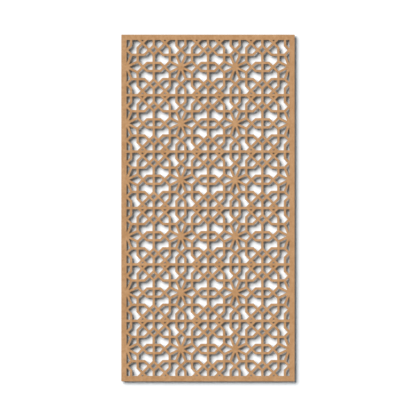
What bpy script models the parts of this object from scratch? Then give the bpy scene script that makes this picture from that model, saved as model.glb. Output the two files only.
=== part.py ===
"""A mashrabiya screen: one flat board, pierced all over, that is fixed by its back.

The frame is in metres. X runs along the width, Y points from the face to the back, and Z is up.
The origin is the middle of the back, so the face looks towards -Y.
"""

import math

import bpy
from mathutils import Vector

# The board. The outermost rails lie within the end borders, and the side borders stop at the
# middle of the outermost stars.
PANEL_WIDTH = 1.220
PANEL_HEIGHT = 2.440
PANEL_THICKNESS = 0.018
SIDE_BORDER = 0.037
END_BORDER = 0.038

# The lattice between the borders. A rail runs across above and below each row of cells.
CELLS_ACROSS = 3
CELL_ROWS = 6
STRIP_WIDTH = 0.017
RAIL_WIDTH = 0.018

# The motif: lengths along the centre lines of its strips, added up over a quarter of a cell.
# The drawing is stretched a little, so that it always fills the cell.
DIAMOND_HALF = 0.0315
OCTAGON_SIDE = 0.0477
ROW_LENGTH = 0.0442
FOOT_HEIGHT = 0.0378
OVAL_HALF = 0.0284

# One solid can't hold every opening, so the board is parted along a rail, clear of its middle.
LOWER_ROWS = 2
PARTING_GAP = 0.0003

BOARD_COLOUR = (0.539, 0.305, 0.147, 1.0)
BOARD_ROUGHNESS = 0.75

CELL_WIDTH = (PANEL_WIDTH - 2 * SIDE_BORDER) / CELLS_ACROSS
CELL_HEIGHT = (PANEL_HEIGHT - 2 * END_BORDER + RAIL_WIDTH) / CELL_ROWS

# How far an opening's side stands back from the line it is drawn on.
STRIP = STRIP_WIDTH / 2
RAIL = RAIL_WIDTH / 2
BORDER = 0.0


def clear_scene():
    for obj in list(bpy.data.objects):
        bpy.data.objects.remove(obj, do_unlink=True)


def motif_points():
    """Where the centre lines of the strips bend and cross, in one quarter of a cell.

    X runs from the middle of the cell to the star at its side, and Y from the star up to the rail.
    A slanting strip rises as far as it goes sideways, so one length gives both steps.
    """
    side, diamond = OCTAGON_SIDE, DIAMOND_HALF
    corner = side / math.sqrt(2)
    column_x = diamond + side + corner
    row_end_x = column_x + ROW_LENGTH
    edge = row_end_x + corner
    row_y = FOOT_HEIGHT + side
    knot_y = row_y + corner
    rail = knot_y + side + diamond
    tip_x = column_x - FOOT_HEIGHT
    drawn = {
        "diamond_top": (0, knot_y + diamond),
        "diamond_foot": (0, knot_y - diamond),
        "knot": (diamond, knot_y),
        "row_bend": (diamond + corner, row_y),
        "row_crossing": (column_x, row_y),
        "row_end": (row_end_x, row_y),
        "edge_knot": (edge, knot_y),
        "pier_bend": (edge - diamond, knot_y + diamond),
        "pier_top": (edge - diamond, rail),
        "corner": (edge, rail),
        "rail_knot": (diamond + side, rail - diamond),
        "rail_inner": (side, rail),
        "rail_outer": (side + 2 * diamond, rail),
        "mullion_top": (0, rail),
        "column_bend": (column_x, row_y + side),
        "column_foot": (column_x, FOOT_HEIGHT),
        "oval_tip": (tip_x, 0),
        "oval_bend": (tip_x - OVAL_HALF, OVAL_HALF),
        "oval_top": (0, OVAL_HALF),
        "star": (edge, 0),
    }
    across = CELL_WIDTH / 2 / edge
    up = CELL_HEIGHT / 2 / rail
    return {name: Vector((x * across, y * up)) for name, (x, y) in drawn.items()}


def twice_area(points):
    return sum(a.cross(b) for a, b in zip(points, points[1:] + points[:1]))


def inset(corners, setbacks):
    """The corners of the opening that is left when each side moves in by its own setback."""
    turn = math.copysign(1, twice_area(corners))
    sides = []
    for start, end, setback in zip(corners, corners[1:] + corners[:1], setbacks):
        along = (end - start).normalized()
        inward = Vector((-along.y, along.x)) * turn
        sides.append((start + inward * setback, along))
    opening = []
    for (point, along), (next_point, next_along) in zip(sides[-1:] + sides[:-1], sides):
        reach = (next_point - point).cross(next_along) / along.cross(next_along)
        opening.append(point + along * reach)
    return opening


def mirrored(point, across_x=None, across_y=None):
    x = point.x if across_x is None else 2 * across_x - point.x
    y = point.y if across_y is None else 2 * across_y - point.y
    return Vector((x, y))


def quarter_openings(at):
    """The openings that lie within one quarter of a cell."""
    bow_tie = ["rail_outer", "pier_top", "pier_bend", "edge_knot"]
    bow_tie += ["row_end", "row_crossing", "column_bend", "rail_knot"]
    hood = ["knot", "row_bend", "row_crossing", "column_foot"]
    hood += ["oval_tip", "oval_bend", "oval_top", "diamond_foot"]
    drawn = [
        (bow_tie, [RAIL] + [STRIP] * 7),
        (hood, [STRIP] * 8),
        (["rail_inner", "rail_outer", "rail_knot"], [RAIL, STRIP, STRIP]),
        (["mullion_top", "rail_inner", "rail_knot", "knot", "diamond_top"], [RAIL] + [STRIP] * 4),
        (["rail_knot", "column_bend", "row_crossing", "row_bend", "knot"], [STRIP] * 5),
        (["row_end", "row_crossing", "column_foot", "star"], [STRIP] * 4),
    ]
    return [inset([at[name] for name in names], setbacks) for names, setbacks in drawn]


def centre_openings(at):
    """The openings on the cell's upright centre line (one above) and level one (two at the right)."""
    diamond = [at["diamond_top"], at["knot"], at["diamond_foot"], mirrored(at["knot"], across_x=0)]
    petal = [at["star"], at["column_foot"], at["oval_tip"], mirrored(at["column_foot"], across_y=0)]
    oval = [at["oval_top"], at["oval_bend"], at["oval_tip"]]
    oval += [mirrored(at[name], across_y=0) for name in ("oval_bend", "oval_top")]
    above = [inset(diamond, [STRIP] * 4)]
    beside = [inset(petal, [STRIP] * 4), inset(oval, [STRIP] * 5)]
    return above, beside


def edge_openings(at):
    """The openings on the line between two cells, and the halves that a side border leaves."""
    over = {name: mirrored(at[name], across_x=CELL_WIDTH / 2) for name in at}
    shield = [at["pier_top"], over["pier_top"], over["pier_bend"], at["edge_knot"], at["pier_bend"]]
    kite = [at["edge_knot"], over["row_end"], at["star"], at["row_end"]]
    half_shield = [at["pier_top"], at["corner"], at["edge_knot"], at["pier_bend"]]
    half_kite = [at["edge_knot"], at["star"], at["row_end"]]
    whole = [inset(shield, [RAIL] + [STRIP] * 4), inset(kite, [STRIP] * 4)]
    halves = [inset(half_shield, [RAIL, BORDER, STRIP, STRIP]), inset(half_kite, [BORDER, STRIP, STRIP])]
    return whole, halves


def placed(outlines, centre, flip_x, flip_y):
    """Copies of a cell's outlines about its centre, mirrored where a flip is -1."""
    return [[centre + Vector((flip_x * p.x, flip_y * p.y)) for p in outline] for outline in outlines]


def openings_of_row(row):
    """Every opening in one row of cells. Row 0 is the lowest."""
    at = motif_points()
    quarter = quarter_openings(at)
    above, beside = centre_openings(at)
    whole, halves = edge_openings(at)
    openings = []
    for column in range(CELLS_ACROSS):
        centre_x = (column - (CELLS_ACROSS - 1) / 2) * CELL_WIDTH
        centre_y = (row - (CELL_ROWS - 1) / 2) * CELL_HEIGHT
        centre = Vector((centre_x, centre_y))
        for flip_x in (-1, 1):
            openings += placed(beside, centre, flip_x, 1)
            for flip_y in (-1, 1):
                openings += placed(quarter, centre, flip_x, flip_y)
        for flip_y in (-1, 1):
            openings += placed(above, centre, 1, flip_y)
            openings += placed(halves if column == 0 else [], centre, -1, flip_y)
            openings += placed(halves if column == CELLS_ACROSS - 1 else whole, centre, 1, flip_y)
    return openings


def board_material():
    material = bpy.data.materials.new("fibreboard")
    material.use_nodes = True
    shader = material.node_tree.nodes["Principled BSDF"]
    shader.inputs["Base Color"].default_value = BOARD_COLOUR
    shader.inputs["Roughness"].default_value = BOARD_ROUGHNESS
    shader.inputs["Metallic"].default_value = 0.0
    return material


def add_outline(curve, points):
    spline = curve.splines.new("POLY")
    spline.points.add(len(points) - 1)
    for spot, point in zip(spline.points, points):
        spot.co = (point.x, point.y, 0.0, 1.0)
    spline.use_cyclic_u = True


def add_panel(name, rows, bottom, top, material):
    """A board from bottom to top, pierced by these rows: a filled flat curve with thickness."""
    side = PANEL_WIDTH / 2
    curve = bpy.data.curves.new(name, "CURVE")
    curve.dimensions = "2D"
    curve.fill_mode = "BOTH"
    curve.extrude = PANEL_THICKNESS / 2
    curve.materials.append(material)
    corners = ((-side, bottom), (side, bottom), (side, top), (-side, top))
    add_outline(curve, [Vector(corner) for corner in corners])
    for row in rows:
        for opening in openings_of_row(row):
            add_outline(curve, opening)
    panel = bpy.data.objects.new(name, curve)
    panel.rotation_euler = (math.pi / 2, 0.0, 0.0)
    panel.location = (0.0, -PANEL_THICKNESS / 2, 0.0)
    bpy.context.scene.collection.objects.link(panel)
    return panel


def main():
    clear_scene()
    fibreboard = board_material()
    end = PANEL_HEIGHT / 2
    parting = (LOWER_ROWS - CELL_ROWS / 2) * CELL_HEIGHT
    half_gap = PARTING_GAP / 2
    add_panel("upper_panel", range(LOWER_ROWS, CELL_ROWS), parting + half_gap, end, fibreboard)
    add_panel("lower_panel", range(LOWER_ROWS), -end, parting - half_gap, fibreboard)


main()
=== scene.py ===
# %% [markdown]
# # A mashrabiya screen, cut from one board
#
# A mashrabiya is a lattice that shades a window or parts a room, and lets air and dappled light
# through. This one is a whole sheet of raw fibreboard, 18 mm thick. A round cutter follows the
# outline of each opening and drops the waste, so border and lattice stay one board with no joint.
#
# The frame holds the exact board as two plain solids. This lesson cuts the same board once more as
# one finished piece, with the marks that a cutter and sandpaper leave on it, and hangs it before a
# white wall in soft light. Everything is in metres: X to the right, Y from the face to the back, Z up.

# %% Load the board's frame
import math

import bmesh
import bpy
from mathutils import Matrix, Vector


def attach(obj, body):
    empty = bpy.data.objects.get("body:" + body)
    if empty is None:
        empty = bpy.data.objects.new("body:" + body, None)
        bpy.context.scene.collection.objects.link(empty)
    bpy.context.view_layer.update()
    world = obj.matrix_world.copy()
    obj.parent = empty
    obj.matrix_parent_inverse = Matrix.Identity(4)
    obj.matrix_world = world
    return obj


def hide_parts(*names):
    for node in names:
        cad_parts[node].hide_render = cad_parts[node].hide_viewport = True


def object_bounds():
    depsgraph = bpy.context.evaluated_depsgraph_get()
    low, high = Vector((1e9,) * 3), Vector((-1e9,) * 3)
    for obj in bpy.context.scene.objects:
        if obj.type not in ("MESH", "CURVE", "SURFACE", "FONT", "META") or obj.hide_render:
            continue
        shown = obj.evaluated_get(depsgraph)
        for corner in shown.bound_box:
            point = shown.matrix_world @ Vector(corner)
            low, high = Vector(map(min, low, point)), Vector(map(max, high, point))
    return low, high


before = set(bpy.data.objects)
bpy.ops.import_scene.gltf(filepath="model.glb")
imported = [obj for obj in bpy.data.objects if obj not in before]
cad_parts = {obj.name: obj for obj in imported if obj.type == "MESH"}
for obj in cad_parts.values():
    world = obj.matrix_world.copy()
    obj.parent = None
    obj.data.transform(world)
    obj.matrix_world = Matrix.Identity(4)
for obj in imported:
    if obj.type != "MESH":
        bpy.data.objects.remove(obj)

solids_low, solids_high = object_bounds()
solids_size = solids_high - solids_low
print("solids:", sorted(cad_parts))
print("board, mm:", [round(side * 1000, 1) for side in solids_size])

# %% [markdown]
# ## The drawing that the cutter follows
#
# The lattice repeats one cell, three across and six up, between plain borders. A rail runs across
# above and below each row of cells, and an eight-rayed star sits between two neighbours. It could be
# traced line by line, but the whole cell follows from five lengths along the middle of its strips,
# because a slanting strip always rises as far as it goes sideways. One quarter of the cell is enough,
# since the other three are its mirror images.

# %% Set the border and the cell
SIDE_BORDER = 0.037
END_BORDER = 0.038
STRIP_WIDTH = 0.017
RAIL_WIDTH = 0.018
CELLS_ACROSS = 3
CELL_ROWS = 6
CELL_WIDTH = (solids_size.x - 2 * SIDE_BORDER) / CELLS_ACROSS
CELL_HEIGHT = (solids_size.z - 2 * END_BORDER + RAIL_WIDTH) / CELL_ROWS
print("one cell, mm:", round(CELL_WIDTH * 1000, 1), "by", round(CELL_HEIGHT * 1000, 1))

# %% Place the middle lines of the strips
DIAMOND_HALF = 0.0315
OCTAGON_SIDE = 0.0477
ROW_LENGTH = 0.0442
FOOT_HEIGHT = 0.0378
OVAL_HALF = 0.0284


def strip_points():
    """Where the middle lines bend and cross. X starts at the cell's middle, Y at the star."""
    side, diamond = OCTAGON_SIDE, DIAMOND_HALF
    corner = side / math.sqrt(2)
    column_x = diamond + side + corner
    row_end_x = column_x + ROW_LENGTH
    edge = row_end_x + corner
    row_y = FOOT_HEIGHT + side
    knot_y = row_y + corner
    rail = knot_y + side + diamond
    tip_x = column_x - FOOT_HEIGHT
    drawn = {
        "diamond_top": (0, knot_y + diamond),
        "diamond_foot": (0, knot_y - diamond),
        "knot": (diamond, knot_y),
        "row_bend": (diamond + corner, row_y),
        "row_crossing": (column_x, row_y),
        "row_end": (row_end_x, row_y),
        "edge_knot": (edge, knot_y),
        "pier_bend": (edge - diamond, knot_y + diamond),
        "pier_top": (edge - diamond, rail),
        "corner": (edge, rail),
        "rail_knot": (diamond + side, rail - diamond),
        "rail_inner": (side, rail),
        "rail_outer": (side + 2 * diamond, rail),
        "mullion_top": (0, rail),
        "column_bend": (column_x, row_y + side),
        "column_foot": (column_x, FOOT_HEIGHT),
        "oval_tip": (tip_x, 0),
        "oval_bend": (tip_x - OVAL_HALF, OVAL_HALF),
        "oval_top": (0, OVAL_HALF),
        "star": (edge, 0),
    }
    across, up = CELL_WIDTH / 2 / edge, CELL_HEIGHT / 2 / rail
    return {name: Vector((x * across, y * up)) for name, (x, y) in drawn.items()}


AT = strip_points()
print("points in a quarter of the cell:", len(AT))

# %% [markdown]
# ## From middle lines to openings
#
# What the cutter removes are the openings. Each one is a ring of the points above, and each side of
# it stands back by half the width of the strip that it borders: half a strip, half a rail, or nothing
# at all where the plain border begins. The corners are where neighbouring sides meet again.

# %% Shrink a ring of middle lines to its opening
STRIP = STRIP_WIDTH / 2
RAIL = RAIL_WIDTH / 2
BORDER = 0.0
print("setbacks, mm:", [round(setback * 1000, 1) for setback in (STRIP, RAIL, BORDER)])


def twice_area(ring):
    return sum(a.cross(b) for a, b in zip(ring, ring[1:] + ring[:1]))


def opening(ring, setbacks):
    """The ring's corners once each side has moved in, in anticlockwise order."""
    turn = math.copysign(1, twice_area(ring))
    sides = []
    for start, end, setback in zip(ring, ring[1:] + ring[:1], setbacks):
        along = (end - start).normalized()
        inward = Vector((-along.y, along.x)) * turn
        sides.append((start + inward * setback, along))
    corners = []
    for (point, along), (next_point, next_along) in zip(sides[-1:] + sides[:-1], sides):
        reach = (next_point - point).cross(next_along) / along.cross(next_along)
        corners.append(point + along * reach)
    return corners if turn > 0 else corners[::-1]


def mirrored(point, across_x=None, across_y=None):
    x = point.x if across_x is None else 2 * across_x - point.x
    y = point.y if across_y is None else 2 * across_y - point.y
    return Vector((x, y))


# %% Name the openings of one cell
def quarter_openings():
    bow_tie = ["rail_outer", "pier_top", "pier_bend", "edge_knot"]
    bow_tie += ["row_end", "row_crossing", "column_bend", "rail_knot"]
    hood = ["knot", "row_bend", "row_crossing", "column_foot"]
    hood += ["oval_tip", "oval_bend", "oval_top", "diamond_foot"]
    rings = [
        (bow_tie, [RAIL] + [STRIP] * 7),
        (hood, [STRIP] * 8),
        (["rail_inner", "rail_outer", "rail_knot"], [RAIL, STRIP, STRIP]),
        (["mullion_top", "rail_inner", "rail_knot", "knot", "diamond_top"], [RAIL] + [STRIP] * 4),
        (["rail_knot", "column_bend", "row_crossing", "row_bend", "knot"], [STRIP] * 5),
        (["row_end", "row_crossing", "column_foot", "star"], [STRIP] * 4),
    ]
    return [opening([AT[name] for name in names], setbacks) for names, setbacks in rings]


def centre_openings():
    """The diamond on the upright centre line, then the petal and the half oval on the level one."""
    diamond = [AT["diamond_top"], AT["knot"], AT["diamond_foot"], mirrored(AT["knot"], across_x=0)]
    petal = [AT["star"], AT["column_foot"], AT["oval_tip"], mirrored(AT["column_foot"], across_y=0)]
    oval = [AT["oval_top"], AT["oval_bend"], AT["oval_tip"]]
    oval += [mirrored(AT[name], across_y=0) for name in ("oval_bend", "oval_top")]
    above = [opening(diamond, [STRIP] * 4)]
    beside = [opening(petal, [STRIP] * 4), opening(oval, [STRIP] * 5)]
    return above, beside


def edge_openings():
    """The shield and kite that two cells share, and the halves of them that a border leaves."""
    over = {name: mirrored(AT[name], across_x=CELL_WIDTH / 2) for name in AT}
    shield = [AT["pier_top"], over["pier_top"], over["pier_bend"], AT["edge_knot"], AT["pier_bend"]]
    kite = [AT["edge_knot"], over["row_end"], AT["star"], AT["row_end"]]
    half_shield = [AT["pier_top"], AT["corner"], AT["edge_knot"], AT["pier_bend"]]
    half_kite = [AT["edge_knot"], AT["star"], AT["row_end"]]
    whole = [opening(shield, [RAIL] + [STRIP] * 4), opening(kite, [STRIP] * 4)]
    halves = [opening(half_shield, [RAIL, BORDER, STRIP, STRIP])]
    halves += [opening(half_kite, [BORDER, STRIP, STRIP])]
    return whole, halves


print("openings within a quarter of a cell:", len(quarter_openings()))


# %% Repeat them over the board
def placed(rings, centre, flip_x, flip_y):
    """Copies of the rings about a cell's centre. A single flip reverses them, so they turn back."""
    order = 1 if flip_x * flip_y > 0 else -1
    return [[centre + Vector((flip_x * p.x, flip_y * p.y)) for p in ring][::order] for ring in rings]


def lattice_openings():
    quarter = quarter_openings()
    above, beside = centre_openings()
    whole, halves = edge_openings()
    found = []
    for row in range(CELL_ROWS):
        for column in range(CELLS_ACROSS):
            centre_x = (column - (CELLS_ACROSS - 1) / 2) * CELL_WIDTH
            centre_y = (row - (CELL_ROWS - 1) / 2) * CELL_HEIGHT
            centre = Vector((centre_x, centre_y))
            for flip_x in (-1, 1):
                found += placed(beside, centre, flip_x, 1)
                for flip_y in (-1, 1):
                    found += placed(quarter, centre, flip_x, flip_y)
            for flip_y in (-1, 1):
                found += placed(above, centre, 1, flip_y)
                found += placed(halves if column == 0 else [], centre, -1, flip_y)
                found += placed(halves if column == CELLS_ACROSS - 1 else whole, centre, 1, flip_y)
    return found


openings = lattice_openings()
widest = max(max(p.x for p in ring) - min(p.x for p in ring) for ring in openings)
tallest = max(max(p.y for p in ring) - min(p.y for p in ring) for ring in openings)
print("openings:", len(openings))
print("widest, mm:", round(widest * 1000), "tallest, mm:", round(tallest * 1000))

# %% [markdown]
# ## What a round cutter does to a corner
#
# A spinning cutter can't reach into a corner, so each corner that it runs into keeps the cutter's
# radius, while a corner that it runs round stays sharp. A bevel on the finished mesh would round both
# kinds, so the arcs are drawn here instead, in steps of equal angle, before the board is cut.

# %% Round the corners that the cutter runs into
CUTTER_RADIUS = 0.0015
ARC_STEP = math.radians(22.5)


def cut_outline(ring):
    """The opening's outline with its cutter arcs, as points that each say if they are a sharp corner."""
    outline = []
    for before, corner, after in zip(ring[-1:] + ring[:-1], ring, ring[1:] + ring[:1]):
        arriving, leaving = (corner - before).normalized(), (after - corner).normalized()
        bend = math.atan2(arriving.cross(leaving), arriving.dot(leaving))
        if bend < 0:
            outline.append((corner, True))
            continue
        steps = max(1, round(bend / ARC_STEP))
        start = corner - arriving * CUTTER_RADIUS * math.tan(bend / 2)
        spoke = Vector((arriving.y, -arriving.x)) * CUTTER_RADIUS
        middle = start - spoke
        for step in range(steps + 1):
            turned = bend * step / steps
            cos, sin = math.cos(turned), math.sin(turned)
            arm = Vector((spoke.x * cos - spoke.y * sin, spoke.x * sin + spoke.y * cos))
            outline.append((middle + arm, False))
    return outline


def board_outline():
    low, high = solids_low, solids_high
    corners = ((low.x, low.z), (high.x, low.z), (high.x, high.z), (low.x, high.z))
    return [(Vector(corner), True) for corner in corners]


outlines = [board_outline()] + [cut_outline(ring)[::-1] for ring in openings]
print("outlines:", len(outlines), "points:", sum(len(outline) for outline in outlines))

# %% [markdown]
# ## Cutting the board
#
# The board is its outlines carried through the thickness. Sandpaper takes the sharp arris off each
# edge, so every outline becomes six rings: two draw the rounded edge at the face, two stand straight
# as the wall, and two round the edge at the back. Walking each outline with the board on the left
# makes one rule serve the rim and the holes alike: left is always into the board.

# %% Draw the rings of every outline
ARRIS = 0.0006
MIDWAY = ARRIS * (1 - math.cos(math.pi / 4))
FACE_RINGS = ((ARRIS, 0.0), (MIDWAY, MIDWAY), (0.0, ARRIS))
RINGS = FACE_RINGS + tuple((inset, solids_size.y - depth) for inset, depth in reversed(FACE_RINGS))


def leans(outline):
    """For each point, the step into the board that moves both its sides in by one unit."""
    points = [point for point, _ in outline]
    steps = []
    for before, point, after in zip(points[-1:] + points[:-1], points, points[1:] + points[:1]):
        arriving, leaving = (point - before).normalized(), (after - point).normalized()
        left = Vector((-arriving.y - leaving.y, arriving.x + leaving.x))
        steps.append(left / (1 + arriving.dot(leaving)))
    return steps


lean = [step for outline in outlines for step in leans(outline)]
flat = [point for outline in outlines for point, _ in outline]
sharp = [is_sharp for outline in outlines for _, is_sharp in outline]
ring_size = len(flat)
print("points in a ring:", ring_size, "rings:", len(RINGS))


# %% Join the rings into the walls, and fill the face and the back
def wall_faces():
    """Quads from each ring to the next. A point's number in ring r is r times the ring's size more."""
    faces = []
    first = 0
    for outline in outlines:
        count = len(outline)
        for ring in range(len(RINGS) - 1):
            front, back = ring * ring_size + first, (ring + 1) * ring_size + first
            for i in range(count):
                j = (i + 1) % count
                faces.append((front + i, back + i, back + j, front + j))
        first += count
    return faces


def face_triangles():
    """The face as flat triangles between the first rings of all outlines, in anticlockwise order."""
    mesh = bmesh.new()
    spots = [mesh.verts.new((*(point + step * ARRIS), 0.0)) for point, step in zip(flat, lean)]
    edges = []
    first = 0
    for outline in outlines:
        count = len(outline)
        edges += [mesh.edges.new((spots[first + i], spots[first + (i + 1) % count])) for i in range(count)]
        first += count
    mesh.verts.index_update()
    filled = bmesh.ops.triangle_fill(mesh, edges=edges, use_beauty=True, normal=(0.0, 0.0, 1.0))
    triangles = []
    for face in (item for item in filled["geom"] if isinstance(item, bmesh.types.BMFace)):
        corners = [vert.index for vert in face.verts]
        face.normal_update()
        triangles.append(tuple(corners if face.normal.z > 0 else reversed(corners)))
    mesh.free()
    return triangles


triangles = face_triangles()
print("triangles in the face:", len(triangles))


# %% Make the board
def cut_board(name):
    points = []
    for inset, depth in RINGS:
        for point, step in zip(flat, lean):
            spot = point + step * inset
            points.append((spot.x, solids_low.y + depth, spot.y))
    last = (len(RINGS) - 1) * ring_size
    walls = wall_faces()
    backs = [tuple(last + corner for corner in reversed(triangle)) for triangle in triangles]
    mesh = bpy.data.meshes.new(name)
    mesh.from_pydata(points, [], walls + triangles + backs)
    mesh.polygons.foreach_set("use_smooth", [i < len(walls) for i in range(len(mesh.polygons))])
    for edge in mesh.edges:
        one, other = edge.vertices
        edge.use_edge_sharp = one % ring_size == other % ring_size and sharp[one % ring_size]
    board = bpy.data.objects.new(name, mesh)
    bpy.context.scene.collection.objects.link(board)
    return board


panel = cut_board("mashrabiya_panel")
panel.data.calc_loop_triangles()
print("triangles in the board:", len(panel.data.loop_triangles))

# %% [markdown]
# ## The look of raw fibreboard
#
# Fibreboard is wood that was ground to fibres and pressed flat with resin, so it has no grain. Its
# sanded face is an even, warm tan. Close up it shows soft blotches about as wide as a thumb, where
# fibres clumped, hair-fine fibres that lie every way, and faint lines from the sanding belt.
#
# A picture of real board could be laid over the mesh, but it would repeat, and it would smear down
# the cut walls. Noise that is worked out from each point's own place fits every side without
# unwrapping, and each layer of it can be given as a real length. So the finish is layers of noise,
# from the widest to the finest, in one material for the whole board.

# %% Start the finish, with a helper that adds a node
def add(tree, kind, inputs=None, **settings):
    """A new node. Each input is a plain value or another node's output."""
    made = tree.nodes.new("ShaderNode" + kind)
    for name, value in settings.items():
        setattr(made, name, value)
    for name, value in (inputs or {}).items():
        if isinstance(value, bpy.types.NodeSocket):
            tree.links.new(value, made.inputs[name])
        else:
            made.inputs[name].default_value = value
    return made


fibreboard = bpy.data.materials.new("raw_fibreboard")
fibreboard.use_nodes = True
finish = fibreboard.node_tree
spot = add(finish, "TexCoord")
place = spot.outputs["Object"]
print("finish:", fibreboard.name)


# %% Make the helpers that the layers share
def specks(size, detail=1.0, at=place):
    """Noise around 0.5 whose specks measure this much along X, Y and Z, in metres."""
    counted = add(finish, "VectorMath", {0: at, 1: size}, operation="DIVIDE").outputs[0]
    return add(finish, "TexNoise", {"Vector": counted, "Scale": 1.0, "Detail": detail}).outputs[0]


def maths(operation, *values):
    """What a Math node makes of these values."""
    return add(finish, "Math", dict(enumerate(values)), operation=operation).outputs[0]


def ramp(value, start, end, low=0.0, high=1.0):
    """The value carried from start..end to low..high, and held at both ends."""
    inputs = {"Value": value, "From Min": start, "From Max": end, "To Min": low, "To Max": high}
    return add(finish, "MapRange", inputs).outputs[0]


def layered(layers):
    """A number around 0.5 that every layer of noise pushes up or down by its own strength."""
    total = 0.5
    for noise, strength in layers:
        total = maths("MULTIPLY_ADD", maths("SUBTRACT", noise, 0.5), strength, total)
    return total


# A Mix node lists the sockets for numbers first, so those for colours have these places
MIX_SHARE = 0
MIX_FIRST = 6
MIX_SECOND = 7
MIX_RESULT = 2


def mixed(share, first, second):
    """A colour between two others: the first at a share of 0, the second at 1."""
    inputs = {MIX_SHARE: share, MIX_FIRST: first, MIX_SECOND: second}
    return add(finish, "Mix", inputs, data_type="RGBA").outputs[MIX_RESULT]


# %% Lay the blotches, the dust and the sanding lines of the face
CLOUD = (0.070, 0.070, 0.070)
BLOTCH = (0.020, 0.020, 0.020)
DUST = (0.0007, 0.0007, 0.0007)
SANDING = (0.0009, 0.0020, 0.2500)
BLOTCH_DETAIL = 3.0
CLOUD_TONE = 0.9
BLOTCH_TONE = 1.7
DUST_TONE = 0.6
SANDING_TONE = 0.35

cloud = specks(CLOUD)
blotch = specks(BLOTCH, BLOTCH_DETAIL)
dust = specks(DUST)
sanding = specks(SANDING)
broad_layers = [(cloud, CLOUD_TONE), (blotch, BLOTCH_TONE)]
fine_layers = [(dust, DUST_TONE), (sanding, SANDING_TONE)]
face_share = layered(broad_layers + fine_layers)
print("widest layer, mm:", CLOUD[0] * 1000, "finest, mm:", DUST[0] * 1000)

# %% Scatter fibres over it
FIBRE = (0.00035, 0.0008, 0.0045)
FIBRE_TURNS = (0.2, 1.3, 2.3)

# The noise where a fibre begins to show, and where it shows in full
PALE_FIBRES = (0.62, 0.72)
DARK_FIBRES = (0.36, 0.26)
FIBRE_PALER = 0.30
FIBRE_DARKER = -0.45

for turn in FIBRE_TURNS:
    inputs = {"Vector": place, "Angle": turn}
    turned = add(finish, "VectorRotate", inputs, rotation_type="Y_AXIS").outputs[0]
    fibres = specks(FIBRE, at=turned)
    face_share = maths("MULTIPLY_ADD", ramp(fibres, *PALE_FIBRES), FIBRE_PALER, face_share)
    face_share = maths("MULTIPLY_ADD", ramp(fibres, *DARK_FIBRES), FIBRE_DARKER, face_share)

FACE_DEEP = (0.374, 0.185, 0.070, 1.0)
FACE_PALE = (0.515, 0.291, 0.142, 1.0)
face_colour = mixed(face_share, FACE_DEEP, FACE_PALE)
print("fibres lie at, degrees:", [round(math.degrees(turn)) for turn in FIBRE_TURNS])

# %% [markdown]
# ## The walls that the cutter leaves
#
# Inside the openings the board shows its thickness. A cut wall is darker and drier than the face: it
# has a dense skin near each face and a looser, fuzzier core, and the cutter leaves streaks along it
# that run level with the faces. The sanded arris between wall and face is rubbed paler.
#
# These parts could have materials of their own, but the walls, the arrises and the two faces make
# thousands of polygons to sort. The way a point faces tells them apart at once: a face looks along
# Y, a wall square to it, and an arris lies between. Its depth in the board then tells skin from core.

# %% Tell walls, arrises and skins apart
# How squarely a point looks along Y: 0 on a wall, 1 on a face, and in between on an arris.
# Each pair says where a part begins to show, and where it shows in full.
WALL_FACING = (0.80, 0.35)
ARRIS_FROM_WALL = (0.20, 0.60)
ARRIS_FROM_FACE = (0.98, 0.85)

facing = maths("ABSOLUTE", add(finish, "SeparateXYZ", {0: spot.outputs["Normal"]}).outputs["Y"])
on_wall = ramp(facing, *WALL_FACING)
on_arris = maths("MULTIPLY", ramp(facing, *ARRIS_FROM_WALL), ramp(facing, *ARRIS_FROM_FACE))

SKIN = 0.0035
DENSEST_SKIN = SKIN / 3
half_thickness = solids_size.y / 2
across = add(finish, "SeparateXYZ", {0: place}).outputs["Y"]
from_middle = maths("ABSOLUTE", maths("ADD", across, half_thickness))
in_skin = ramp(from_middle, half_thickness - SKIN, half_thickness - DENSEST_SKIN)
print("skin, mm:", SKIN * 1000, "of", round(solids_size.y * 1000, 1))

# %% Lay the streaks and the fuzz of the walls
STREAK = (0.0300, 0.00035, 0.0300)
CLUMP = (0.0050, 0.0015, 0.0050)
FUZZ_DETAIL = 2.0
STREAK_TONE = 1.0
CLUMP_TONE = 0.7
FUZZ_TONE = 0.9
SKIN_DARKER = -0.35

streaks = specks(STREAK)
clumps = specks(CLUMP)
fuzz = specks(DUST, FUZZ_DETAIL)
wall_share = layered([(streaks, STREAK_TONE), (clumps, CLUMP_TONE), (fuzz, FUZZ_TONE)])
wall_share = maths("MULTIPLY_ADD", in_skin, SKIN_DARKER, wall_share)

WALL_DEEP = (0.158, 0.106, 0.068, 1.0)
WALL_PALE = (0.330, 0.221, 0.142, 1.0)
wall_colour = mixed(wall_share, WALL_DEEP, WALL_PALE)
print("streaks, mm:", [round(side * 1000, 2) for side in STREAK])

# %% Join the colours, and make raw board matt and slightly rough
ARRIS_PALE = (0.490, 0.290, 0.141, 1.0)
ARRIS_RUBBED = 0.5
DUST_SPAN = (0.3, 0.7)
FACE_ROUGHNESS = (0.66, 0.76)
WALL_ROUGHNESS = 0.90
BOARD_GLOSS = 0.3
RELIEF = 0.00006
DUST_RELIEF = 0.5
SANDING_RELIEF = 0.4
STREAK_RELIEF = 1.6
FUZZ_RELIEF = 1.6

colour = mixed(on_wall, face_colour, wall_colour)
colour = mixed(maths("MULTIPLY", on_arris, ARRIS_RUBBED), colour, ARRIS_PALE)
roughness = ramp(on_wall, 0.0, 1.0, ramp(dust, *DUST_SPAN, *FACE_ROUGHNESS), WALL_ROUGHNESS)
face_height = layered([(dust, DUST_RELIEF), (sanding, SANDING_RELIEF)])
wall_height = layered([(streaks, STREAK_RELIEF), (fuzz, FUZZ_RELIEF)])
height = ramp(on_wall, 0.0, 1.0, face_height, wall_height)
bump = add(finish, "Bump", {"Height": height, "Distance": RELIEF})

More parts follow.
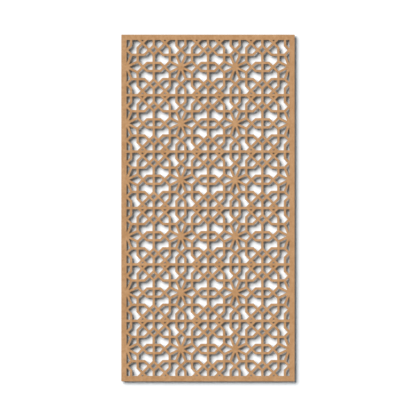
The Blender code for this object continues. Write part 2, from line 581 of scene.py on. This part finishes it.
shader = finish.nodes["Principled BSDF"]
shader.inputs["Specular IOR Level"].default_value = BOARD_GLOSS
finish.links.new(colour, shader.inputs["Base Color"])
finish.links.new(roughness, shader.inputs["Roughness"])
finish.links.new(bump.outputs[0], shader.inputs["Normal"])
panel.data.materials.append(fibreboard)
print("nodes in the finish:", len(finish.nodes))

# %% [markdown]
# ## One board for two solids
#
# The frame splits the board across one rail, only because a single solid can't carry every opening.
# The real board has no such joint. The piece above could be split too, but then a line would show, so
# it stays whole and stands for both solids. It rides on the one body, as nothing on it moves.

# %% Let the panel stand for the two solids
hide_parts("upper_panel", "lower_panel")
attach(panel, "root")
print("panel stands for:", sorted(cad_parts))

# %% [markdown]
# ## A white wall and floor
#
# The board hangs a finger's width off a plain white wall, as if on spacers, and its shadow falls to
# the lower right, through the openings and past the border. It could lie flat on the wall, but then
# every shadow would start at full strength. The gap lets light in behind the thin strips, so their
# shadows are lighter and softer than the border's.
#
# The paint shows on one side only, so that the board can be looked at from behind and from below.
# Wall and floor catch light, but they neither stop it nor throw it back. So a lamp behind the wall
# can reach the board's back, and no glow off the wall fills the shadow that gives the lattice depth.

# %% Mix a white paint that shows on one side
PAINT_ROUGHNESS = 0.9
PAINT_GLOSS = 0.0


def paint(name, white):
    made = bpy.data.materials.new(name)
    made.use_nodes = True
    tree = made.node_tree
    painted = tree.nodes["Principled BSDF"]
    painted.inputs["Base Color"].default_value = (white, white, white, 1.0)
    painted.inputs["Roughness"].default_value = PAINT_ROUGHNESS
    painted.inputs["Specular IOR Level"].default_value = PAINT_GLOSS
    from_behind = add(tree, "NewGeometry").outputs["Backfacing"]
    clear = add(tree, "BsdfTransparent").outputs[0]
    either = add(tree, "MixShader", {0: from_behind, 1: painted.outputs[0], 2: clear}).outputs[0]
    tree.links.new(either, tree.nodes["Material Output"].inputs["Surface"])
    return made


# %% Put up the wall, and lay the floor before it
WALL_GAP = 0.020
WALL_WHITE = 0.95
FLOOR_DROP = 0.28
FLOOR_WHITE = 0.85
REACH = 9.0


def sheet(name, corners, material):
    """A flat sheet of the stage, which takes light and shadow and has no part in lighting the board."""
    mesh = bpy.data.meshes.new(name)
    mesh.from_pydata(corners, [], [(0, 1, 2, 3)])
    mesh.materials.append(material)
    made = bpy.data.objects.new(name, mesh)
    bpy.context.scene.collection.objects.link(made)
    made.visible_shadow = False
    made.visible_diffuse = False
    made.visible_glossy = False


wall_y = solids_high.y + WALL_GAP
floor_z = solids_low.z - FLOOR_DROP
foot = [(-REACH, wall_y, floor_z), (REACH, wall_y, floor_z)]
top = [(REACH, wall_y, REACH), (-REACH, wall_y, REACH)]
front = [(-REACH, -REACH, floor_z), (REACH, -REACH, floor_z)]
sheet("wall", foot + top, paint("wall_paint", WALL_WHITE))
sheet("floor", front + foot[::-1], paint("floor_paint", FLOOR_WHITE))
print("wall behind the board, mm:", round(WALL_GAP * 1000))
print("floor below the board, mm:", round(FLOOR_DROP * 1000))

# %% [markdown]
# ## Soft light from the upper left
#
# The shadow tells where the light is. It lands to the right of each strip and below it by a little
# more than the strip's own width, and it is soft at its edge, so the light is broad and comes from
# the upper left, more from the front than from the side. A sun lamp with a wide angle does this
# evenly over the whole board, where a nearby lamp would fade across it.
#
# Two weaker suns are for the other views. One lights the back. The other runs level with the board,
# and so reaches little but the two rims that face away from the first. Light that they threw on from
# the brown board would warm the grey shadow on the wall, so theirs ends where it lands. A faint sky,
# slightly cool, fills the shadows, and the camera sees it as plain white.

# %% Light the board
# How far a shadow falls for each metre between an edge and the wall
SHADOW_RIGHT = 0.60
SHADOW_DOWN = 0.55

# Which way each lamp's light travels, its strength, and its spread in degrees
KEY_TRAVELS = (SHADOW_RIGHT, 1.0, -SHADOW_DOWN)
KEY_STRENGTH = 4.20
KEY_SPREAD = 42.0
RIM_TRAVELS = (-1.0, 0.0, 0.8)
RIM_STRENGTH = 0.8
RIM_SPREAD = 5.0
BACK_TRAVELS = (-0.12, -1.0, -0.12)
BACK_STRENGTH = 2.4
BACK_SPREAD = 10.0


def sun(name, travels, strength, spread):
    """A lamp as far off as the sun, whose light travels this way and spreads by this many degrees."""
    lamp = bpy.data.lights.new(name, "SUN")
    lamp.energy = strength
    lamp.angle = math.radians(spread)
    made = bpy.data.objects.new(name, lamp)
    made.rotation_euler = Vector(travels).to_track_quat("-Z", "Y").to_euler()
    bpy.context.scene.collection.objects.link(made)
    return lamp


sun("key_light", KEY_TRAVELS, KEY_STRENGTH, KEY_SPREAD)
rim_light = sun("rim_light", RIM_TRAVELS, RIM_STRENGTH, RIM_SPREAD)
back_light = sun("back_light", BACK_TRAVELS, BACK_STRENGTH, BACK_SPREAD)
for lamp in (rim_light, back_light):
    lamp.cycles.max_bounces = 0

face_to_wall = solids_size.y + WALL_GAP
offsets = [round(slope * face_to_wall * 1000) for slope in (SHADOW_RIGHT, SHADOW_DOWN)]
print("the face's shadow falls, mm:", offsets[0], "to the right and", offsets[1], "down")

# %% Fill the shadows with a faint sky
SKY_LIGHT = (0.135, 0.163, 0.181, 1.0)
SKY_SEEN = (1.0, 1.0, 1.0, 1.0)

world = bpy.data.worlds.new("studio")
world.use_nodes = True
bpy.context.scene.world = world
sky = world.node_tree
lit = add(sky, "Background", {"Color": SKY_LIGHT}).outputs[0]
seen = add(sky, "Background", {"Color": SKY_SEEN}).outputs[0]
to_camera = add(sky, "LightPath").outputs["Is Camera Ray"]
either = add(sky, "MixShader", {0: to_camera, 1: lit, 2: seen}).outputs[0]
sky.links.new(either, sky.nodes["World Output"].inputs["Surface"])
print("sky on the board, red to blue:", SKY_LIGHT[:3])

# %% [markdown]
# ## The camera
#
# The board is seen dead from the front, with its sides parallel and its walls hidden, so the camera
# stands far off behind a long lens. A flat projection would show the same, but a real lens keeps the
# slight spread that lets the eye see depth. The view is as wide as the board and its white margins,
# and colours are shown as they come, with no film-like curve, so that the wall stays pure white.

# %% Place the camera
# The picture's side and the board's height in it, in pixels
IMAGE_SIDE = 416
BOARD_HEIGHT_IN_IMAGE = 346.83

# The lens and the sensor behind it, in millimetres
LENS = 300.0
SENSOR = 36.0

lens = bpy.data.cameras.new("camera")
lens.lens = LENS
lens.sensor_width = SENSOR
view_side = solids_size.z * IMAGE_SIDE / BOARD_HEIGHT_IN_IMAGE
distance = view_side * LENS / SENSOR
camera = bpy.data.objects.new("camera", lens)
camera.location = (0.0, solids_low.y - distance, 0.0)
camera.rotation_euler = (math.pi / 2, 0.0, 0.0)
bpy.context.scene.collection.objects.link(camera)
bpy.context.scene.camera = camera
bpy.context.scene.view_settings.view_transform = "Standard"
print("camera stands off, m:", round(distance, 2), "and sees, m:", round(view_side, 3))

# %% [markdown]
# ## The size of the solids
#
# The finished board has to fill the solids' box and stay inside it, since the solids carry the sizes
# that the board is hung by.

# %% Print the solids' size
print("solids, mm:", [round(side * 1000, 2) for side in solids_size])
